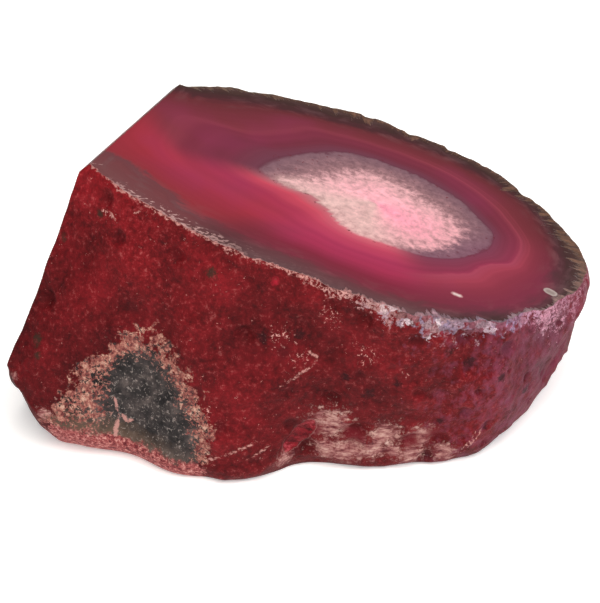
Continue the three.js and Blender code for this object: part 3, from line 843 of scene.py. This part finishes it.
    # The first scar, low on the front: glossy red with a darker middle, and a pale lip here and there
    scarNoise = node("TexNoise", {"Vector": fibrePlace, "Scale": perMillimetres(2.2), "Detail": 4,
                                  "Roughness": 0.75})
    scarEdge = node("MapRange", {"Value": scarNoise, "range": (0.34, 0.66, 0.25, 1.7)})
    inScar = node("Math", {"operation": "MULTIPLY", 0: read["scarred"], 1: scarEdge})
    lip = node("ValToRGB", {"Fac": inScar, "stops": ((0.1, "#000000"), (0.2, "#c0c0c0"), (0.34, "#000000"))})
    lip = node("Math", {"operation": "MULTIPLY", 0: lip, 1: fibres})
    scarColour = node("ValToRGB", {"Fac": fibres, "stops": (
        (0.36, "#3d0b11"), (0.47, "#6c131b"), (0.56, "#8e1e28"), (0.66, "#b04a54"))})
    inScar = node("MapRange", {"Value": inScar, "range": (0.3, 0.5, 0, 0.9)})
    colour = node("MixRGB", {"Fac": lip, "Color1": colour, "Color2": "#c99a96"})
    colour = node("MixRGB", {"Fac": inScar, "Color1": colour, "Color2": scarColour})

    # The worn window: smoky chalcedony with pale dots, under a lace of what is left of the rind
    edgeNoise = node("TexNoise", {"Vector": place, "Scale": perMillimetres(2.6), "Detail": 5,
                                  "Roughness": 0.75})
    edge = node("MapRange", {"Value": edgeNoise, "range": (0.25, 0.75, -0.24, 0.2)})
    wornEdge = node("Math", {"operation": "ADD", 0: read["wornPlace"], 1: edge})
    inWindow = node("MapRange", {"Value": wornEdge, "range": (1.02, 0.98)})
    smoke = node("TexNoise", {"Vector": place, "Scale": perMillimetres(3.5), "Detail": 5, "Roughness": 0.65})
    smoky = node("ValToRGB", {"Fac": smoke, "stops": (
        (0.35, "#1d1a1b"), (0.48, "#2e2a2a"), (0.57, "#3f3837"), (0.68, "#5a504d"))})
    dots = node("MapRange", {"Value": fineGrain, "range": (0.57, 0.63, 0, 0.8)})
    smoky = node("MixRGB", {"Fac": dots, "Color1": smoky, "Color2": "#8f8580"})
    wavyUp = node("Math", {"operation": "MULTIPLY_ADD", 0: edgeNoise, 1: -0.008, 2: up})
    wavyUp = node("Math", {"operation": "MULTIPLY_ADD", 0: across, 1: 0.154, 2: wavyUp})
    # Painted light: the lower part of the window is a paler olive, light from the floor painted into its
    # colour
    paintedFloorLightSide = node("MapRange", {"Value": across, "range": (-0.036, -0.022, 0.55, 0.12)})
    paintedFloorLight = node("MapRange", {"Value": wavyUp, "range": (0.0012, -0.002, 0, paintedFloorLightSide)})
    smoky = node("MixRGB", {"Fac": paintedFloorLight, "Color1": smoky, "Color2": "#6c5646"})
    lacePatches = node("MapRange", {"Value": smoke, "range": (0.3, 0.7, -0.09, 0.05)})
    laceShare = node("MapRange", {"Value": read["laceReach"], "range": (-0.15, 0.8, -0.2, 0.07)})
    lace = node("Math", {"operation": "ADD", 0: fineGrain, 1: laceShare})
    lace = node("Math", {"operation": "ADD", 0: lace, 1: lacePatches})
    lace = node("MapRange", {"Value": lace, "range": (0.47, 0.53)})
    laceColour = node("ValToRGB", {"Fac": grain, "stops": (
        (0.38, "#5e2c2c"), (0.47, "#8a4d47"), (0.56, "#a87264"), (0.64, "#c29a88"))})
    worn = node("MixRGB", {"Fac": lace, "Color1": smoky, "Color2": laceColour})

    # Its foot is a rough pink rim
    footRim = node("MapRange", {"Value": wavyUp, "range": (-0.0024, -0.0036)})
    footColour = node("ValToRGB", {"Fac": fineGrain, "stops": (
        (0.38, "#571c22"), (0.47, "#873a3c"), (0.55, "#a85c58"), (0.63, "#c8928a"))})
    worn = node("MixRGB", {"Fac": footRim, "Color1": worn, "Color2": footColour})
    colour = node("MixRGB", {"Fac": inWindow, "Color1": colour, "Color2": worn})

    # Thin pale lines
    veinEdge = node("MapRange", {"Value": fineGrain, "range": (0.3, 0.7, -0.9, 0.9)})
    veined = node("Math", {"operation": "ADD", 0: read["veined"], 1: veinEdge})
    veined = node("MapRange", {"Value": veined, "range": (0.7, 1.3, 0.85, 0)})
    colour = node("MixRGB", {"Fac": veined, "Color1": colour, "Color2": "#c08b83"})

    # Pale crust and broken chips under the rim
    jagged = node("TexNoise", {"Vector": place, "Scale": perMillimetres(1.8), "Detail": 5, "Roughness": 0.72})
    jagged = node("MapRange", {"Value": jagged, "range": (0.3, 0.7, -0.8, 0.5)})
    crusted = node("Math", {"operation": "ADD", 0: read["crust"], 1: jagged})
    crusted = node("MapRange", {"Value": crusted, "range": (0.25, 0.4, 0, 0.92)})
    broken = node("ValToRGB", {"Fac": read["crustSide"], "stops": (
        (0.3, "#000000"), (0.36, "#dddddd"), (0.43, "#dddddd"), (0.5, "#666666"), (0.56, "#000000"))})
    gaps = node("Math", {"operation": "MULTIPLY_ADD", 0: broken, 1: 0.2, 2: fineGrain})
    gaps = node("MapRange", {"Value": gaps, "range": (0.485, 0.535)})
    crusted = node("Math", {"operation": "MULTIPLY", 0: crusted, 1: gaps})
    crustShade = node("ValToRGB", {"Fac": read["crustSide"], "stops": (
        (0, "#a5706a"), (0.26, "#ad7872"), (0.34, "#b08884"), (0.46, "#93607a"), (0.49, "#c48a9c"),
        (0.52, "#a06c7c"), (0.57, "#8f5c66"), (0.62, "#70493f"), (0.72, "#6b453d"), (1, "#7d514b"))})
    # Facets of the broken chips, each 1.5 mm or so and bent by up to 2 mm, with a colour of its own
    sway = node("TexNoise", {"Vector": place, "Scale": perMillimetres(1.0), "Detail": 3}, "Color")
    bent = node("VectorMath", {"operation": "MULTIPLY_ADD", 0: sway, 1: (0.0022,) * 3, 2: place})
    facets = node("TexVoronoi", {"Vector": bent, "Scale": perMillimetres(1.5)}, "Color")
    facets = node("SeparateXYZ", {"Vector": facets}, "X")
    chipColour = node("ValToRGB", {"Fac": facets, "stops": (
        (0, "#54202b"), (0.24, "#75303e"), (0.36, "#8c5c66"), (0.5, "#9a8080"), (0.6, "#6c6a84"),
        (0.75, "#8783a0"), (0.86, "#a98f9b"), (1, "#d2c8cf"))})
    crustShade = node("MixRGB", {"Fac": broken, "Color1": crustShade, "Color2": chipColour})
    crustGrain = node("MapRange", {"Value": fineGrain, "range": (0.4, 0.66, 0.5, 1.5)})
    crustShade = node("VectorMath", {"operation": "SCALE", 0: crustShade, "Scale": crustGrain})
    colour = node("MixRGB", {"Fac": crusted, "Color1": colour, "Color2": crustShade})

    rough = node("MapRange", {"Value": inScar, "range": (0, 1, 0.62, 0.3)})
    grainBump = node("Bump", {"Height": grain, "Strength": 0.8, "Distance": 0.0004})
    shader = node("BsdfPrincipled", {"Base Color": colour, "Roughness": rough, "IOR": 1.5,
                                     "Specular IOR Level": 0.12, "Normal": grainBump})
    node("OutputMaterial", {"Surface": shader})
    return material


def sawnAgate():
    # Agate as the saw left it: the same bands, greyed and dulled by fine parallel marks
    material, node = newMaterial("sawnAgate")
    place = node("TexCoord", {}, "Object")
    band = node("Attribute", {"attribute_name": "band"}, "Fac")
    drift = node("TexNoise", {"Vector": place, "Scale": perMillimetres(10), "Detail": 4})
    wander = node("MapRange", {"Value": drift, "range": (0.2, 0.8, -0.04, 0.04)})
    band = node("Math", {"operation": "ADD", 0: band, 1: wander})
    colour = bandColour(node, band)
    waveSpacing = 2 * math.pi / 20  # a Wave texture of scale 1 has bands this far apart
    sawMarks = node("TexWave", {"Vector": place, "Scale": waveSpacing * perMillimetres(1.3), "Distortion": 3,
                                "Detail": 3, "Detail Scale": 0.6, "bands_direction": "Z"}, "Fac")
    mottle = node("TexNoise", {"Vector": place, "Scale": perMillimetres(2.5), "Detail": 5, "Roughness": 0.7})
    dust = node("Math", {"operation": "MULTIPLY_ADD", 0: sawMarks, 1: 0.1, 2: mottle})
    dust = node("MapRange", {"Value": dust, "range": (0.38, 0.72, 0.05, 0.42)})
    colour = node("MixRGB", {"Fac": dust, "Color1": colour, "Color2": "#8d6a68"})
    bump = node("Bump", {"Height": sawMarks, "Strength": 0.2, "Distance": 0.0002})
    shader = node("BsdfPrincipled", {"Base Color": colour, "Roughness": 0.6, "IOR": 1.54, "Normal": bump})
    node("OutputMaterial", {"Surface": shader})
    return material


print("making the materials")
for makeMaterial in (polishedAgate, dyedRind, sawnAgate):
    stoneMesh.materials.append(makeMaterial())

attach(agateStone, "root")
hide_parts("agate")

studio = {
    "floorDrop": 0.0001,  # under the foot, in metres
    "floorSize": 20.0,
    "floorColour": "#ffffff",
    "floorGlow": 0.3,  # lightens the shadow, as a backlit table does
    "skyStrength": 0.16,
    "skyColour": "#f2f5fb",
    # Area lights: place, aim, size in metres, watts and colour
    "lights": (((0.12, -0.42, 0.9), (0, 0, 0.02), 0.95, 12.0, "#fffaf4"),
               ((-0.6, -0.7, 0.5), (0, 0, 0.02), 0.6, 1.0, "#fffdfa"),
               ((0.8, -0.3, 0.5), (0, 0, 0.02), 0.5, 1.5, "#e6eeff")),
    "cameraElevation": 36.0,  # degrees, looking along +Y
    "cameraDistance": 0.36,
    "cameraAimHeight": 0.02,  # over the floor, above the stone's own origin
    "lens": 102.639,
}


def aimed(item, place, target):  # puts an item in the scene with its own -Z turned along target - place
    item.location = place
    item.rotation_euler = (Vector(target) - Vector(place)).to_track_quat("-Z", "Y").to_euler()
    bpy.context.scene.collection.objects.link(item)


print("setting up the studio")
half = studio["floorSize"] / 2
floorMesh = bpy.data.meshes.new("floor")
corners = ((-half, -half), (half, -half), (half, half), (-half, half))
floorMesh.from_pydata([(x, y, -studio["floorDrop"]) for x, y in corners], [], [(0, 1, 2, 3)])
floor = bpy.data.objects.new("floor", floorMesh)
bpy.context.scene.collection.objects.link(floor)
floorMaterial, node = newMaterial("paleFloor")
shader = node("BsdfPrincipled", {"Base Color": studio["floorColour"], "Roughness": 1.0,
                                 "Specular IOR Level": 0.0, "Emission Color": "#ffffff",
                                 "Emission Strength": studio["floorGlow"]})
node("OutputMaterial", {"Surface": shader})
floorMesh.materials.append(floorMaterial)

for index, (place, target, size, watts, colour) in enumerate(studio["lights"]):
    light = bpy.data.lights.new(f"softLight{index + 1}", "AREA")
    light.shape, light.size, light.energy = "DISK", size, watts
    light.color = linearColour(colour)[:3]
    aimed(bpy.data.objects.new(light.name, light), place, target)

world = bpy.data.worlds.new("paleStudio")
world.use_nodes = True
world.node_tree.nodes["Background"].inputs["Color"].default_value = linearColour(studio["skyColour"])
world.node_tree.nodes["Background"].inputs["Strength"].default_value = studio["skyStrength"]
bpy.context.scene.world = world

elevation = math.radians(studio["cameraElevation"])
target = Vector((*stone["recentring"], 0)) * millimetre + Vector((0, 0, studio["cameraAimHeight"]))
camera = bpy.data.objects.new("camera", bpy.data.cameras.new("camera"))
camera.data.lens = studio["lens"]
towardsCamera = Vector((0, -math.cos(elevation), math.sin(elevation)))
aimed(camera, target + studio["cameraDistance"] * towardsCamera, target)
bpy.context.scene.camera = camera
bpy.context.scene.view_settings.view_transform = "Standard"
